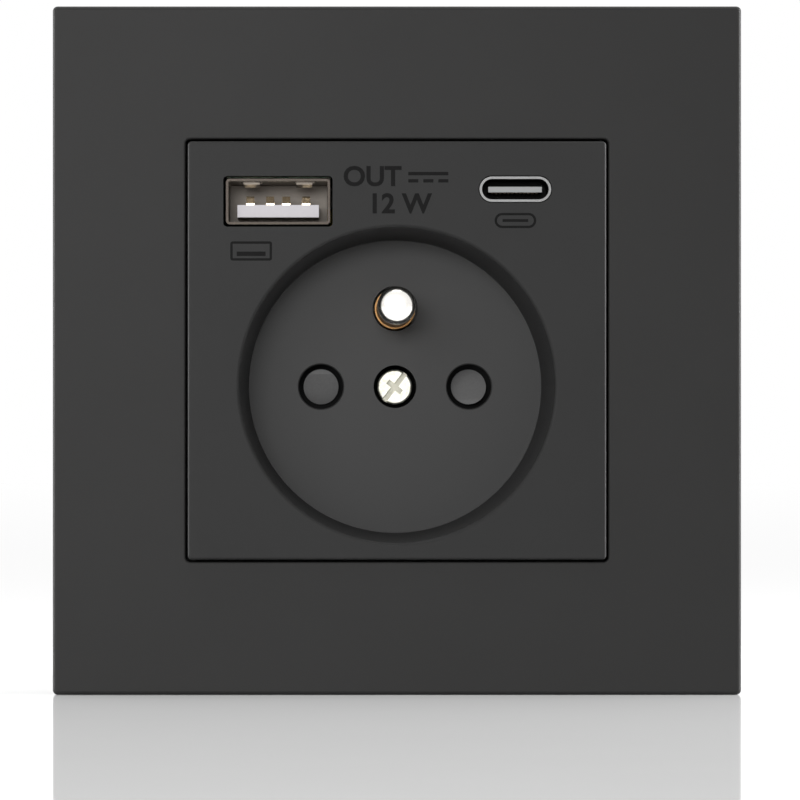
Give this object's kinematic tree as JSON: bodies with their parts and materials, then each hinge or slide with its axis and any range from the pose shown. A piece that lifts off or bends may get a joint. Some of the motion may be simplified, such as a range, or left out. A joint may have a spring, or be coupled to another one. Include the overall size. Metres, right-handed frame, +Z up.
{
  "type": "usb wall socket",
  "caption": "Black flush wall socket: square frame, round recess with earth pin and shuttered pin holes, and a rectangular and an oval charging port.",
  "frame": {"origin": "centre of the frame on the wall's surface", "axes": "+X to the right and +Z up, seen from the room; +Y into the wall, so the front faces -Y"},
  "size_m": [0.086, 0.0395, 0.086],
  "materials": {
    "frame_black": "fine matt moulded polycarbonate",
    "cover_black": "fine matt moulded polycarbonate",
    "plated_steel": "plated steel",
    "shutter_black": "moulded nylon",
    "spring_steel": "drawn wire",
    "carrier_grey": "moulded nylon",
    "contact_bronze": "rolled bronze",
    "terminal_brass": "drawn brass bar",
    "earth_nickel": "nickel-plated brass",
    "housing_black": "glass-filled nylon",
    "yoke_zinc": "galvanised sheet",
    "board_green": "glass epoxy with solder mask",
    "port_steel": "nickel-plated sheet",
    "insulator_white": "moulded nylon",
    "contact_gilt": "gilt bronze",
    "insulator_grey": "moulded nylon",
    "ferrite": "sintered ferrite",
    "bobbin_black": "moulded nylon",
    "winding_tape": "taped winding",
    "can_sleeve": "aluminium can in a sleeve",
    "chip_epoxy": "moulded epoxy",
    "wire_brown": "insulated wire",
    "wire_blue": "insulated wire"
  },
  "bodies": {
    "socket": {"outer_frame": "frame_black", "socket_cover": "cover_black", "centre_screw": "plated_steel", "screw_nut": "plated_steel", "shutter_spring": "spring_steel", "contact_carrier": "carrier_grey", "carrier_screws": "plated_steel", "live_contact": "contact_bronze", "neutral_contact": "contact_bronze", "live_terminal": "terminal_brass", "neutral_terminal": "terminal_brass", "earth_pin": "earth_nickel", "earth_strap": "terminal_brass", "earth_terminal": "terminal_brass", "terminal_screws": "plated_steel", "rear_housing": "housing_black", "mounting_yoke": "yoke_zinc", "yoke_rivets": "plated_steel", "usb_board": "board_green", "usb_a_shell": "port_steel", "usb_a_insulator": "insulator_white", "usb_a_contacts": "contact_gilt", "usb_c_shell": "port_steel", "usb_c_insulator": "insulator_grey", "usb_c_contacts": "contact_gilt", "transformer_core": "ferrite", "transformer_bobbin": "bobbin_black", "transformer_winding": "winding_tape", "input_capacitor": "can_sleeve", "output_capacitor": "can_sleeve", "bridge_rectifier": "chip_epoxy", "controller_chip": "chip_epoxy", "live_supply_wire": "wire_brown", "neutral_supply_wire": "wire_blue"},
    "shutter": {"shutter": "shutter_black"}
  },
  "joints": [
    {"name": "shutter_turn", "type": "hinge", "parent": "socket", "child": "shutter", "pos_m": [0, 0.0088, -0.0043], "axis": [0, 1, 0], "range_deg": [0, 42], "stiffness_Nm_per_rad": 0.004, "springref_deg": -20.05, "deforming": ["shutter_spring"]}
  ]
}
